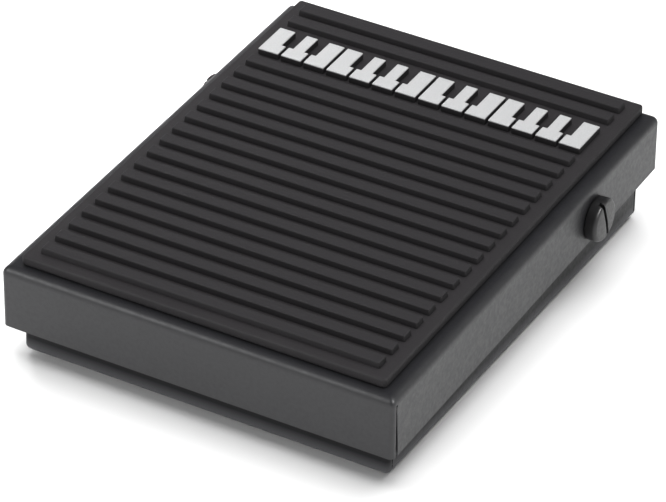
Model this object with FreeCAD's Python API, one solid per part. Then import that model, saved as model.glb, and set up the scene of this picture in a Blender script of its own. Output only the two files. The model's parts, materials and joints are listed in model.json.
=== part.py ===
import FreeCAD, Part
import math
import os

# A compact sustain pedal: a folded steel pedal plate with a ribbed rubber tread rocks on two
# screws in the side walls of a folded steel base tray. A coil spring lifts its front end, rubber
# strips on the tray's end walls stop it, and a small snap switch under it closes when it is pressed.
# Millimetres. X is to the right, Y from the toe end to the cord end, Z up from the floor.
# While it is built, y = 0 is the front of the pedal plate; save_all moves the whole pedal so that
# the origin is the middle of its footprint.

# ---- driving dimensions -------------------------------------------------------------------------
PLATE_WIDTH = 75.0
PLATE_LENGTH = 97.0
SHEET = 1.0                     # steel of the plate and the tray
PLATE_BEND = 1.5                # outer radius of the plate's bends
SHEET_CORNER = 0.9              # outer radius of the upright corners of the plate and the tray
FRONT_FLANGE = 12.0             # flange heights, from the plate's top face
SIDE_FLANGE_REAR = 11.0         # the side flanges taper to this from the front flange's height
REAR_FLANGE = 7.0
SEAM = 0.8                      # open gap at the foot of each folded corner
SEAM_CLOSED = 0.2               # the same gap at the bend
SEAM_RELIEF = 0.35              # radius of the relief hole where each gap ends


REST_TILT = 1.3                 # degrees that the plate slopes down to the front at rest
PRESS_ANGLE = 3.5               # degrees from rest to the front stop
PIVOT_Y = 71.8
PIVOT_Z = 13.45
PIVOT_BELOW_TOP = 6.8           # from the plate's top face down to the pivot

PAD_THICK = 0.5
TRAY_SIDE_INSET = 2.2           # from the plate's outer faces to the tray's outer faces
TRAY_FRONT_INSET = 3.1
TRAY_REAR_INSET = 2.6
TRAY_BEND = 1.3
FRONT_WALL_TOP = 11.9           # heights above the floor
REAR_WALL_TOP = 17.4
WALL_SLOPE_END = 58.0           # y where the side walls reach their full height

STRIP_OUTER_LIP = 0.6           # rubber of the stop strips outside and inside the wall
STRIP_INNER_LIP = 1.2
STRIP_GRIP = 3.0                # how far they reach down the wall
STRIP_END_INSET = 6.0
STOP_GAP = 0.05                 # between a stop and the plate that lands on it

MAT_MARGIN = 2.7                # plate left bare at each side of the mat
MAT_FRONT = 2.2
MAT_REAR_MARGIN = 1.0
MAT_THICK = 1.8
MAT_CORNER = 0.7
RIB_COUNT_FRONT = 17
RIB_COUNT_REAR = 2
RIB_PITCH = 4.21
RIB_WIDTH = 2.6
RIB_HEIGHT = 1.1
RIB_FRONT_START = 4.43          # y of the first rib's front foot
RIB_REAR_START = 86.76
RIB_END_MARGIN = 2.4            # mat left flat beyond the rib ends
RIB_LEAN = 0.15                 # how far the ribs' sides lean in over their height
RIB_ROUND = 0.2
MAT_EDGE_ROUND = 0.4

KEY_COUNT = 14                  # keys in the raised keyboard motif: two octaves
KEY_LENGTH = 8.0
KEY_GAP = 0.55
KEY_START = 76.15               # y of the keys' front ends
BLACK_KEY_WIDTH = 2.3
BLACK_KEY_LENGTH = 5.0
KEY_CORNER = 0.3
FOIL_THICK = 0.25
MOTIF_HEIGHT = 1.0              # rubber under the foil

SCREW_RADIUS = 2.0              # M4
SCREW_HEAD_RADIUS = 4.0
SCREW_HEAD_HEIGHT = 2.4
SCREW_LENGTH = 8.0
SCREW_HEAD_ROUND = 0.5
SLOT_WIDTH = 0.7
SLOT_DEPTH = 1.1
SLOT_ANGLE = 18.0               # degrees from upright
WASHER_RADIUS = 4.0
NUT_ACROSS_FLATS = 7.0
NUT_THICK = 3.2
RUNNING_GAP = 0.06
SIDE_PLAY = 0.1
FIT_GAP = 0.02                  # between pieces that are pressed or screwed together

SPRING_Y = 28.0
SPRING_WIRE = 0.6               # wire radius
SPRING_RADIUS = 4.6             # mean coil radius
SPRING_TURNS = 6.5
CUP_RADIUS = 7.0
CUP_WALL = 1.0
CUP_FLOOR = 0.8
CUP_DEPTH = 2.6
POST_FLANGE_RADIUS = 6.2
POST_FLANGE_THICK = 1.0
POST_BOSS_RADIUS = 3.6
POST_BOSS_HEIGHT = 3.5          # above the flange
POST_RIVET_RADIUS = 1.5

SWITCH_X = 17.0
SWITCH_HINGE_Y = 54.2
SWITCH_CONTACT_Y = 45.0         # where the actuator presses the lever
SWITCH_PLUNGER_Y = 50.6
CASE_LENGTH = 12.8
CASE_WIDTH = 5.8
CASE_HEIGHT = 6.5
CASE_FRONT = 43.4
BOARD_WIDTH = 24.0
BOARD_LENGTH = 24.0
BOARD_FRONT = 38.0
BOARD_THICK = 1.6
STANDOFF_HEIGHT = 3.5
STANDOFF_RADIUS = 2.4
STANDOFF_CLINCH_RADIUS = 1.9    # its lower end in the tray's floor
STANDOFF_EDGE = 3.0             # from the board's edges to the standoffs
BOARD_SCREW_RADIUS = 1.25
BOARD_SCREW_HEAD_RADIUS = 2.2
BOARD_SCREW_HEAD_HEIGHT = 1.5
CASE_WALL = 0.7
LEVER_EYE_RADIUS = 0.75
LEVER_THICK = 0.3
LEVER_HALF_WIDTH = 1.6
LEVER_PIN_RADIUS = 0.4
LEVER_EAR = 0.9                 # half length and thickness of the cover's ears
PLUNGER_RADIUS = 0.95
PLUNGER_COLLAR_RADIUS = 1.5
PLUNGER_COLLAR_HEIGHT = 0.8
BLADE_THICK = 0.25
BLADE_BEAD_RADIUS = 0.3         # rolled end that the blade rocks on
BUTTON_LENGTH = 3.0             # actuator button below the plate
BUTTON_RADIUS = 2.5
BUTTON_STEM_RADIUS = 1.5

CORD_RADIUS = 2.1               # bore of the cord grommet
GROMMET_Z = 7.5
GROMMET_FLANGE_RADIUS = 5.0
GROMMET_FLANGE_THICK = 1.6
GROMMET_LIP_THICK = 2.0         # inside the wall

# ---- levels that follow from them ---------------------------------------------------------------
HALF_WIDTH = PLATE_WIDTH / 2
TRAY_HALF = HALF_WIDTH - TRAY_SIDE_INSET
TRAY_FRONT = TRAY_FRONT_INSET
TRAY_REAR = PLATE_LENGTH - TRAY_REAR_INSET
TRAY_BOTTOM = PAD_THICK
TRAY_FLOOR = TRAY_BOTTOM + SHEET
PLATE_TOP = PIVOT_Z + PIVOT_BELOW_TOP        # of the level plate, before the rest tilt
PLATE_UNDER = PLATE_TOP - SHEET
MAT_TOP = PLATE_TOP + MAT_THICK
BOARD_BOTTOM = TRAY_FLOOR + STANDOFF_HEIGHT
BOARD_TOP = BOARD_BOTTOM + BOARD_THICK
CASE_SPLIT = BOARD_TOP + 1.6                 # joint between the switch's block and its cover
CASE_TOP = BOARD_TOP + CASE_HEIGHT
CASE_X = (SWITCH_X - CASE_WIDTH / 2, SWITCH_X + CASE_WIDTH / 2)
CASE_Y = (CASE_FRONT, CASE_FRONT + CASE_LENGTH)
SWITCH_HINGE_Z = CASE_TOP + 0.9
BLADE_Z = CASE_SPLIT + 2.35                  # underside of the contact blade
BLADE_HINGE_Z = BLADE_Z + BLADE_THICK / 2
FIXED_CONTACT_Z = CASE_SPLIT + 1.1

X_AXIS = FreeCAD.Vector(1, 0, 0)
Y_AXIS = FreeCAD.Vector(0, 1, 0)
Z_AXIS = FreeCAD.Vector(0, 0, 1)


# ---- shape helpers ------------------------------------------------------------------------------
def box(x, y, z):
    """A block between the pairs of limits x, y and z."""
    corner = FreeCAD.Vector(x[0], y[0], z[0])
    return Part.makeBox(x[1] - x[0], y[1] - y[0], z[1] - z[0], corner)


def rod_x(radius, x, y, z):
    return Part.makeCylinder(radius, x[1] - x[0], FreeCAD.Vector(x[0], y, z), X_AXIS)


def rod_y(radius, x, y, z):
    return Part.makeCylinder(radius, y[1] - y[0], FreeCAD.Vector(x, y[0], z), Y_AXIS)


def rod_z(radius, x, y, z):
    return Part.makeCylinder(radius, z[1] - z[0], FreeCAD.Vector(x, y, z[0]), Z_AXIS)


def prism_x(points, x):
    """Extrude a closed (y, z) outline along X."""
    corners = [FreeCAD.Vector(x[0], y, z) for y, z in points]
    face = Part.Face(Part.makePolygon(corners + corners[:1]))
    return face.extrude(FreeCAD.Vector(x[1] - x[0], 0, 0))


def prism_y(points, y):
    """Extrude a closed (x, z) outline along Y."""
    corners = [FreeCAD.Vector(x, y[0], z) for x, z in points]
    face = Part.Face(Part.makePolygon(corners + corners[:1]))
    return face.extrude(FreeCAD.Vector(0, y[1] - y[0], 0))


def edges_at_height(shape, z, tolerance=0.01):
    """The straight or curved edges that lie wholly at height z."""
    def is_level(edge):
        return abs(edge.BoundBox.ZMin - z) < tolerance and abs(edge.BoundBox.ZMax - z) < tolerance
    return [edge for edge in shape.Edges if is_level(edge)]


def upright_edges(shape, tolerance=0.01):
    def is_upright(edge):
        return edge.BoundBox.XLength < tolerance and edge.BoundBox.YLength < tolerance
    return [edge for edge in shape.Edges if is_upright(edge)]


def rounded_slab(x, y, z, corner_radius):
    slab = box(x, y, z)
    return slab.makeFillet(corner_radius, upright_edges(slab))


def tilt_to_rest(shape):
    """Turn a shape of the level pedal about the pivot to its slope at rest."""
    turned = shape.copy()
    turned.rotate(FreeCAD.Vector(0, PIVOT_Y, PIVOT_Z), X_AXIS, REST_TILT)
    return turned


def plate_underside(y, slope):
    """Height of the plate's underside above the floor at y, while it slopes down to the front."""
    angle = math.radians(slope)
    return PIVOT_Z + (PIVOT_BELOW_TOP - SHEET) / math.cos(angle) - (PIVOT_Y - y) * math.tan(angle)


def mirrored(shape):
    """The same piece on the left side."""
    return shape.mirror(FreeCAD.Vector(0, 0, 0), X_AXIS)


def hexagon(across_flats, x, y, z):
    """A hexagonal bar along X between the limits x, with a corner upwards."""
    radius = across_flats / math.sqrt(3)
    turns = [math.radians(60 * i) for i in range(6)]
    points = [(y + radius * math.sin(a), z + radius * math.cos(a)) for a in turns]
    return prism_x(points, x)


def seam_outline(start, inward, bend_z, foot_z):
    """Wedge between two flanges, along one of them from start, from the bend to their free edge."""
    return [
        (start, foot_z),
        (start, bend_z),
        (start + inward * SEAM_CLOSED, bend_z),
        (start + inward * SEAM, foot_z),
    ]


def cut_side_seam(sheet, half_width, start, inward, bend_z, foot_z):
    """Cut the same corner seam, with its relief hole, in the left and the right flange."""
    for side in (-1, 1):
        face = sorted((side * (half_width - SHEET), side * (half_width + SHEET)))
        sheet = sheet.cut(prism_x(seam_outline(start, inward, bend_z, foot_z), face))
        sheet = sheet.cut(rod_x(SEAM_RELIEF, face, start + inward * SEAM_CLOSED / 2, bend_z))
    return sheet


# ---- pedal --------------------------------------------------------------------------------------
def pedal_plate():
    """
    Sheet folded down on all four sides, with open seams at the corners. The front flange wraps
    round its corners to the sides; the side flanges wrap round the rear corners.
    """
    x = (-HALF_WIDTH, HALF_WIDTH)
    y = (0.0, PLATE_LENGTH)
    outer = rounded_slab(x, y, (PLATE_TOP - FRONT_FLANGE, PLATE_TOP), SHEET_CORNER)
    outer = outer.makeFillet(PLATE_BEND, edges_at_height(outer, PLATE_TOP))
    inner_x = (x[0] + SHEET, x[1] - SHEET)
    inner_y = (y[0] + SHEET, y[1] - SHEET)
    inner = box(inner_x, inner_y, (PLATE_TOP - FRONT_FLANGE - SHEET, PLATE_UNDER))
    inner = inner.makeFillet(PLATE_BEND - SHEET, edges_at_height(inner, PLATE_UNDER))
    plate = outer.cut(inner)

    below = PLATE_TOP - FRONT_FLANGE - SHEET
    wide = (x[0] - SHEET, x[1] + SHEET)
    side_trim = prism_x([
        (SHEET, below),
        (SHEET, PLATE_TOP - FRONT_FLANGE),
        (PLATE_LENGTH + SHEET, PLATE_TOP - SIDE_FLANGE_REAR),
        (PLATE_LENGTH + SHEET, below),
    ], wide)
    rear_edge = HALF_WIDTH - SHEET
    rear_face = (PLATE_LENGTH - SHEET, PLATE_LENGTH + SHEET)
    rear_trim = box((-rear_edge, rear_edge), rear_face, (below, PLATE_TOP - REAR_FLANGE))
    plate = plate.cut([side_trim, rear_trim])

    bend_z = PLATE_TOP - PLATE_BEND
    plate = cut_side_seam(plate, HALF_WIDTH, SHEET, 1, bend_z, below)
    for side in (-1, 1):
        edge = side * rear_edge
        plate = plate.cut(prism_y(seam_outline(edge, -side, bend_z, below), rear_face))
        plate = plate.cut(rod_y(SEAM_RELIEF, edge - side * SEAM_CLOSED / 2, rear_face, bend_z))
    plate = plate.cut(rod_x(SCREW_RADIUS + RUNNING_GAP, wide, PIVOT_Y, PIVOT_Z))
    plate = plate.cut(button_stem())
    return plate


def rib(y_start):
    """One straight rib: sides and ends lean in a little towards its top."""
    x_end = HALF_WIDTH - MAT_MARGIN - RIB_END_MARGIN
    foot = MAT_TOP - MAT_THICK / 2
    top = MAT_TOP + RIB_HEIGHT
    lower = Part.makePolygon([
        FreeCAD.Vector(-x_end, y_start, MAT_TOP),
        FreeCAD.Vector(x_end, y_start, MAT_TOP),
        FreeCAD.Vector(x_end, y_start + RIB_WIDTH, MAT_TOP),
        FreeCAD.Vector(-x_end, y_start + RIB_WIDTH, MAT_TOP),
        FreeCAD.Vector(-x_end, y_start, MAT_TOP),
    ])
    x_top = x_end - RIB_LEAN
    y_front = y_start + RIB_LEAN
    y_rear = y_start + RIB_WIDTH - RIB_LEAN
    upper = Part.makePolygon([
        FreeCAD.Vector(-x_top, y_front, top),
        FreeCAD.Vector(x_top, y_front, top),
        FreeCAD.Vector(x_top, y_rear, top),
        FreeCAD.Vector(-x_top, y_rear, top),
        FreeCAD.Vector(-x_top, y_front, top),
    ])
    body = Part.makeLoft([lower, upper], True, True)
    body = body.makeFillet(RIB_ROUND, edges_at_height(body, top))
    root = box((-x_end, x_end), (y_start, y_start + RIB_WIDTH), (foot, MAT_TOP))
    return body.fuse(root).removeSplitter()


def motif_keys(z):
    """The white keys of a keyboard, notched where the black keys lie, as blocks between heights z."""
    total = PLATE_WIDTH - 2 * (MAT_MARGIN + RIB_END_MARGIN)
    pitch = total / KEY_COUNT
    gaps_with_black_key = (0, 1, 3, 4, 5)
    keys = []
    for i in range(KEY_COUNT):
        left = -total / 2 + i * pitch + KEY_GAP / 2
        key = box((left, left + pitch - KEY_GAP), (KEY_START, KEY_START + KEY_LENGTH), z)
        key = key.makeFillet(KEY_CORNER, upright_edges(key))
        keys.append(key)
    for i in range(KEY_COUNT - 1):
        if i % 7 in gaps_with_black_key:
            middle = -total / 2 + (i + 1) * pitch
            notch_x = (middle - BLACK_KEY_WIDTH / 2, middle + BLACK_KEY_WIDTH / 2)
            notch_y = (KEY_START + KEY_LENGTH - BLACK_KEY_LENGTH, KEY_START + KEY_LENGTH + 1)
            notch = box(notch_x, notch_y, (z[0] - 1, z[1] + 1))
            keys[i] = keys[i].cut(notch)
            keys[i + 1] = keys[i + 1].cut(notch)
    return keys


def tread_mat():
    """Rubber sheet with cross ribs, and a flat band near the rear that carries the motif."""
    x = (-HALF_WIDTH + MAT_MARGIN, HALF_WIDTH - MAT_MARGIN)
    y = (MAT_FRONT, PLATE_LENGTH - MAT_REAR_MARGIN)
    sheet = rounded_slab(x, y, (PLATE_TOP, MAT_TOP), MAT_CORNER)
    sheet = sheet.makeFillet(MAT_EDGE_ROUND, edges_at_height(sheet, MAT_TOP))
    starts = [RIB_FRONT_START + i * RIB_PITCH for i in range(RIB_COUNT_FRONT)]
    starts += [RIB_REAR_START + i * RIB_PITCH for i in range(RIB_COUNT_REAR)]
    raised = [rib(start) for start in starts]
    raised += motif_keys((MAT_TOP - MAT_THICK / 2, MAT_TOP + MOTIF_HEIGHT))
    return sheet.fuse(raised).removeSplitter()


def emblem_foil():
    """Silver foil caps on the raised keys."""
    z = (MAT_TOP + MOTIF_HEIGHT, MAT_TOP + MOTIF_HEIGHT + FOIL_THICK)
    return Part.makeCompound(motif_keys(z))


def spring_cup():
    """Shallow steel cup under the plate that holds the top of the spring."""
    cup = rod_z(CUP_RADIUS, 0, SPRING_Y, (PLATE_UNDER - CUP_DEPTH, PLATE_UNDER))
    inside = (PLATE_UNDER - CUP_DEPTH - 1, PLATE_UNDER - CUP_FLOOR)
    return cup.cut(rod_z(CUP_RADIUS - CUP_WALL, 0, SPRING_Y, inside))


def button_stem():
    """Snap stem of the actuator button, from its flange up to just under the mat."""
    cover = SHEET / 10          # steel skin left above the stem's blind hole
    return rod_z(BUTTON_STEM_RADIUS, SWITCH_X, SWITCH_CONTACT_Y, (PLATE_UNDER, PLATE_TOP - cover))


def actuator_button():
    """Nylon button under the plate that presses the switch lever."""
    face = PLATE_UNDER - BUTTON_LENGTH
    button = rod_z(BUTTON_RADIUS, SWITCH_X, SWITCH_CONTACT_Y, (face, PLATE_UNDER))
    button = button.makeFillet(0.88 * BUTTON_RADIUS, edges_at_height(button, face))
    return button.fuse(button_stem())


# ---- base ---------------------------------------------------------------------------------------
def tray_side_profile():
    """The (y, z) outline above the side walls, which is cut away: they slope up from the front."""
    high = REAR_WALL_TOP + 20
    return [
        (TRAY_FRONT - 5, FRONT_WALL_TOP),
        (TRAY_FRONT + 2 * SHEET, FRONT_WALL_TOP),
        (WALL_SLOPE_END, REAR_WALL_TOP),
        (TRAY_REAR + 5, REAR_WALL_TOP),
        (TRAY_REAR + 5, high),
        (TRAY_FRONT - 5, high),
    ]


def base_tray():
    """Sheet folded up on all four sides, with open seams at the corners."""
    x = (-TRAY_HALF, TRAY_HALF)
    y = (TRAY_FRONT, TRAY_REAR)
    above = REAR_WALL_TOP + SHEET
    outer = rounded_slab(x, y, (TRAY_BOTTOM, above), SHEET_CORNER)
    outer = outer.makeFillet(TRAY_BEND, edges_at_height(outer, TRAY_BOTTOM))
    inner_x = (x[0] + SHEET, x[1] - SHEET)
    inner_y = (y[0] + SHEET, y[1] - SHEET)
    inner = box(inner_x, inner_y, (TRAY_FLOOR, above + SHEET))
    inner = inner.makeFillet(TRAY_BEND - SHEET, edges_at_height(inner, TRAY_FLOOR))
    tray = outer.cut(inner)
    tray = tray.cut(prism_x(tray_side_profile(), (x[0] - 1, x[1] + 1)))

    bend_z = TRAY_BOTTOM + TRAY_BEND
    tray = cut_side_seam(tray, TRAY_HALF, y[0] + SHEET, 1, bend_z, above)
    tray = cut_side_seam(tray, TRAY_HALF, y[1] - SHEET, -1, bend_z, above)
    tray = tray.cut(rod_x(SCREW_RADIUS + RUNNING_GAP, (x[0] - 1, x[1] + 1), PIVOT_Y, PIVOT_Z))
    tray = tray.cut(rod_y(grommet_neck_radius(), 0, (TRAY_REAR - 2 * SHEET, TRAY_REAR + 1), GROMMET_Z))
    through = (0, TRAY_FLOOR + SHEET)
    holes = [rod_z(POST_RIVET_RADIUS, 0, SPRING_Y, through)]
    holes += [rod_z(STANDOFF_CLINCH_RADIUS, px, py, through) for px, py in standoff_places()]
    return tray.cut(holes)


def base_pad():
    """Non-slip rubber sheet under the tray, which the pedal stands on."""
    inset = 2.5                 # from the tray's outer faces
    x = (-TRAY_HALF + inset, TRAY_HALF - inset)
    y = (TRAY_FRONT + inset, TRAY_REAR - inset)
    pad = rounded_slab(x, y, (0, PAD_THICK), 3.0)
    return pad.makeFillet(0.25, edges_at_height(pad, 0))


def stop_strip(wall_outer_y, wall_top, inward, slope):
    """
    Rubber edging of U section pushed over an end wall; inward is +1 at the front, -1 at the rear.
    Its top lies just under the plate while the plate has the given slope.
    """
    outer_y = wall_outer_y - inward * STRIP_OUTER_LIP
    inner_y = wall_outer_y + inward * (SHEET + STRIP_INNER_LIP)
    strip_top = min(plate_underside(outer_y, slope), plate_underside(inner_y, slope)) - STOP_GAP
    half = TRAY_HALF - STRIP_END_INSET
    body = box((-half, half), sorted((outer_y, inner_y)), (wall_top - STRIP_GRIP, strip_top))
    body = body.makeFillet(0.4, edges_at_height(body, strip_top))
    wall = sorted((wall_outer_y, wall_outer_y + inward * SHEET))
    return body.cut(box((-half - 1, half + 1), wall, (wall_top - STRIP_GRIP - 1, wall_top)))


def front_stop_strip():
    """The plate lands on it when the pedal is pressed."""
    return stop_strip(TRAY_FRONT, FRONT_WALL_TOP, 1, REST_TILT + PRESS_ANGLE)


def rear_stop_strip():
    """The rear of the plate rests on it when the pedal is released."""
    return stop_strip(TRAY_REAR, REAR_WALL_TOP, -1, REST_TILT)


def pivot_screw():
    """Slotted pan head screw on the right side, with its head outside the plate's flange."""
    head_start = HALF_WIDTH + SIDE_PLAY
    head_end = head_start + SCREW_HEAD_HEIGHT
    head = rod_x(SCREW_HEAD_RADIUS, (head_start, head_end), PIVOT_Y, PIVOT_Z)
    rim = [edge for edge in head.Edges if abs(edge.BoundBox.XMin - head_end) < 0.01]
    head = head.makeFillet(SCREW_HEAD_ROUND, rim)
    slot = box(
        (head_end - SLOT_DEPTH, head_end + 1),
        (PIVOT_Y - SLOT_WIDTH / 2, PIVOT_Y + SLOT_WIDTH / 2),
        (PIVOT_Z - 2 * SCREW_HEAD_RADIUS, PIVOT_Z + 2 * SCREW_HEAD_RADIUS),
    )
    slot.rotate(FreeCAD.Vector(0, PIVOT_Y, PIVOT_Z), X_AXIS, SLOT_ANGLE)
    shank = rod_x(SCREW_RADIUS, (head_start - SCREW_LENGTH, head_start), PIVOT_Y, PIVOT_Z)
    return head.cut(slot).fuse(shank).removeSplitter()


def pivot_washer():
    """Nylon spacer between the tray wall and the plate's flange."""
    x = (TRAY_HALF + FIT_GAP, HALF_WIDTH - SHEET - SIDE_PLAY)
    ring = rod_x(WASHER_RADIUS, x, PIVOT_Y, PIVOT_Z)
    return ring.cut(rod_x(SCREW_RADIUS + RUNNING_GAP, (x[0] - 1, x[1] + 1), PIVOT_Y, PIVOT_Z))


def pivot_nut():
    """Lock nut on the screw, against the inside of the tray wall."""
    x_end = TRAY_HALF - SHEET
    x = (x_end - NUT_THICK, x_end)
    nut = hexagon(NUT_ACROSS_FLATS, x, PIVOT_Y, PIVOT_Z)
    return nut.cut(rod_x(SCREW_RADIUS + FIT_GAP, (x[0] - 1, x[1] + 1), PIVOT_Y, PIVOT_Z))


def spring_post():
    """Riveted stud on the tray floor that centres the foot of the spring."""
    boss_top = spring_foot() + POST_BOSS_HEIGHT
    flange = rod_z(POST_FLANGE_RADIUS, 0, SPRING_Y, (TRAY_FLOOR, spring_foot()))
    boss = rod_z(POST_BOSS_RADIUS, 0, SPRING_Y, (TRAY_FLOOR, boss_top))
    boss = boss.makeFillet(0.8, edges_at_height(boss, boss_top))
    rivet = rod_z(POST_RIVET_RADIUS - FIT_GAP, 0, SPRING_Y, (TRAY_BOTTOM, TRAY_FLOOR))
    return flange.fuse([boss, rivet]).removeSplitter()


def spring_foot():
    return TRAY_FLOOR + POST_FLANGE_THICK


def spring_head():
    """Height where the spring meets the lowest part of the cup's sloping floor."""
    front = SPRING_Y - SPRING_RADIUS - SPRING_WIRE
    return plate_underside(front, REST_TILT) - CUP_FLOOR / math.cos(math.radians(REST_TILT)) - 0.05


def return_spring():
    """Compression spring of round wire; the wire's middle runs along a helix."""
    low = spring_foot() + SPRING_WIRE + FIT_GAP
    high = spring_head() - SPRING_WIRE
    helix = Part.makeHelix((high - low) / SPRING_TURNS, high - low, SPRING_RADIUS)
    start = FreeCAD.Vector(SPRING_RADIUS, 0, 0)
    section = Part.Wire(Part.makeCircle(SPRING_WIRE, start, Y_AXIS))
    spring = Part.Wire(helix.Edges).makePipeShell([section], True, True)
    spring.translate(FreeCAD.Vector(0, SPRING_Y, low))
    return spring


def grommet_neck_radius():
    return CORD_RADIUS + 1.3


def cord_grommet():
    """Rubber bush in the rear wall where the cord passes."""
    outer = (TRAY_REAR, TRAY_REAR + GROMMET_FLANGE_THICK)
    inner = (TRAY_REAR - SHEET - GROMMET_LIP_THICK, TRAY_REAR - SHEET)
    outside = rod_y(GROMMET_FLANGE_RADIUS, 0, outer, GROMMET_Z)
    rim = [edge for edge in outside.Edges if abs(edge.BoundBox.YMin - outer[1]) < 0.01]
    outside = outside.makeFillet(0.6, rim)
    inside = rod_y(GROMMET_FLANGE_RADIUS - 0.4, 0, inner, GROMMET_Z)
    neck = rod_y(grommet_neck_radius() - FIT_GAP, 0, (inner[0], outer[1]), GROMMET_Z)
    bore = rod_y(CORD_RADIUS, 0, (inner[0] - 1, outer[1] + 1), GROMMET_Z)
    return outside.fuse([inside, neck]).removeSplitter().cut(bore)


# ---- switch -------------------------------------------------------------------------------------
def standoff_places():
    """The four corners where the board is screwed down."""
    half = BOARD_WIDTH / 2 - STANDOFF_EDGE
    xs = (SWITCH_X - half, SWITCH_X + half)
    ys = (BOARD_FRONT + STANDOFF_EDGE, BOARD_FRONT + BOARD_LENGTH - STANDOFF_EDGE)
    return [(px, py) for px in xs for py in ys]


def board_standoffs():
    """Round steel posts clinched into the tray floor, tapped for the board screws."""
    posts = []
    for px, py in standoff_places():
        post = rod_z(STANDOFF_RADIUS, px, py, (TRAY_FLOOR, BOARD_BOTTOM))
        clinch = rod_z(STANDOFF_CLINCH_RADIUS - FIT_GAP, px, py, (TRAY_BOTTOM, TRAY_FLOOR))
        tapping = rod_z(BOARD_SCREW_RADIUS, px, py, (TRAY_FLOOR, BOARD_BOTTOM + 1))
        posts.append(post.fuse(clinch).removeSplitter().cut(tapping))
    return Part.makeCompound(posts)


def board_screws():
    """Small slotted screws that hold the board."""
    head_top = BOARD_TOP + BOARD_SCREW_HEAD_HEIGHT
    screws = []
    for px, py in standoff_places():
        head = rod_z(BOARD_SCREW_HEAD_RADIUS, px, py, (BOARD_TOP, head_top))
        head = head.makeFillet(0.4, edges_at_height(head, head_top))
        slot = box((px - 3, px + 3), (py - 0.3, py + 0.3), (head_top - 0.7, head_top + 1))
        shank = rod_z(BOARD_SCREW_RADIUS - FIT_GAP, px, py, (TRAY_FLOOR + 0.3, BOARD_TOP))
        screws.append(head.cut(slot).fuse(shank).removeSplitter())
    return Part.makeCompound(screws)


def terminal_places():
    """y of the two terminals: the fixed contact in front, the blade's support behind."""
    return (CASE_FRONT + 1.9, CASE_FRONT + 11.5)


def terminal_outline(y_middle, gap=0.0):
    """Blade section of a terminal, as x and y limits widened by gap."""
    half_x = 0.8 + gap
    half_y = 0.3 + gap
    return (SWITCH_X - half_x, SWITCH_X + half_x), (y_middle - half_y, y_middle + half_y)


def switch_board():
    """Circuit board that the switch is soldered to."""
    x = (SWITCH_X - BOARD_WIDTH / 2, SWITCH_X + BOARD_WIDTH / 2)
    y = (BOARD_FRONT, BOARD_FRONT + BOARD_LENGTH)
    board = rounded_slab(x, y, (BOARD_BOTTOM, BOARD_TOP), 1.0)
    through = (BOARD_BOTTOM - 1, BOARD_TOP + 1)
    screw_hole = BOARD_SCREW_RADIUS + 0.15
    holes = [rod_z(screw_hole, px, py, through) for px, py in standoff_places()]
    for middle in terminal_places():
        slot_x, slot_y = terminal_outline(middle, 2 * FIT_GAP)
        holes.append(box(slot_x, slot_y, through))
    return board.cut(holes)


def switch_case():
    """Moulded base block of the switch; the terminals stand in it."""
    block = box(CASE_X, CASE_Y, (BOARD_TOP, CASE_SPLIT))
    slots = []
    for middle in terminal_places():
        slot_x, slot_y = terminal_outline(middle, FIT_GAP)
        slots.append(box(slot_x, slot_y, (BOARD_TOP - 1, CASE_SPLIT + 1)))
    return block.cut(slots)


def switch_cover():
    """Hollow moulded cover with the plunger's hole and two ears for the lever's pin."""
    cover = box(CASE_X, CASE_Y, (CASE_SPLIT, CASE_TOP))
    cover = cover.makeFillet(CASE_WALL / 2, upright_edges(cover))
    hollow_x = (CASE_X[0] + CASE_WALL, CASE_X[1] - CASE_WALL)
    hollow_y = (CASE_Y[0] + CASE_WALL, CASE_Y[1] - CASE_WALL)
    cover = cover.cut(box(hollow_x, hollow_y, (CASE_SPLIT - 1, CASE_TOP - CASE_WALL)))
    ear_y = (SWITCH_HINGE_Y - LEVER_EAR, SWITCH_HINGE_Y + LEVER_EAR)
    ear_z = (CASE_TOP - CASE_WALL / 2, SWITCH_HINGE_Z + LEVER_EAR)
    ears = [
        box((CASE_X[0], CASE_X[0] + LEVER_EAR), ear_y, ear_z),
        box((CASE_X[1] - LEVER_EAR, CASE_X[1]), ear_y, ear_z),
    ]
    cover = cover.fuse(ears).removeSplitter()
    plunger_hole = rod_z(PLUNGER_RADIUS + 0.05, SWITCH_X, SWITCH_PLUNGER_Y, (CASE_SPLIT, CASE_TOP + 1))
    across = (CASE_X[0] - 1, CASE_X[1] + 1)
    pin_hole = rod_x(LEVER_PIN_RADIUS + FIT_GAP, across, SWITCH_HINGE_Y, SWITCH_HINGE_Z)
    return cover.cut([plunger_hole, pin_hole])


def lever_pin():
    """Steel pin through the cover's ears."""
    return rod_x(LEVER_PIN_RADIUS, CASE_X, SWITCH_HINGE_Y, SWITCH_HINGE_Z)


def button_face_at_rest():
    """Height of the actuator button's face above the floor, with the pedal up."""
    tilt = math.radians(REST_TILT)
    ahead = PIVOT_Y - SWITCH_CONTACT_Y
    below_pivot = BUTTON_LENGTH + SHEET - PIVOT_BELOW_TOP
    return PIVOT_Z - ahead * math.sin(tilt) - below_pivot * math.cos(tilt)


def lever_slope():
    """Degrees that the free lever rises towards its tip, to stop just short of the button."""
    free_gap = 0.2
    reach = SWITCH_HINGE_Y - SWITCH_CONTACT_Y
    rise = button_face_at_rest() - free_gap - LEVER_EYE_RADIUS - SWITCH_HINGE_Z
    return math.degrees(math.atan(rise / reach))


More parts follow.
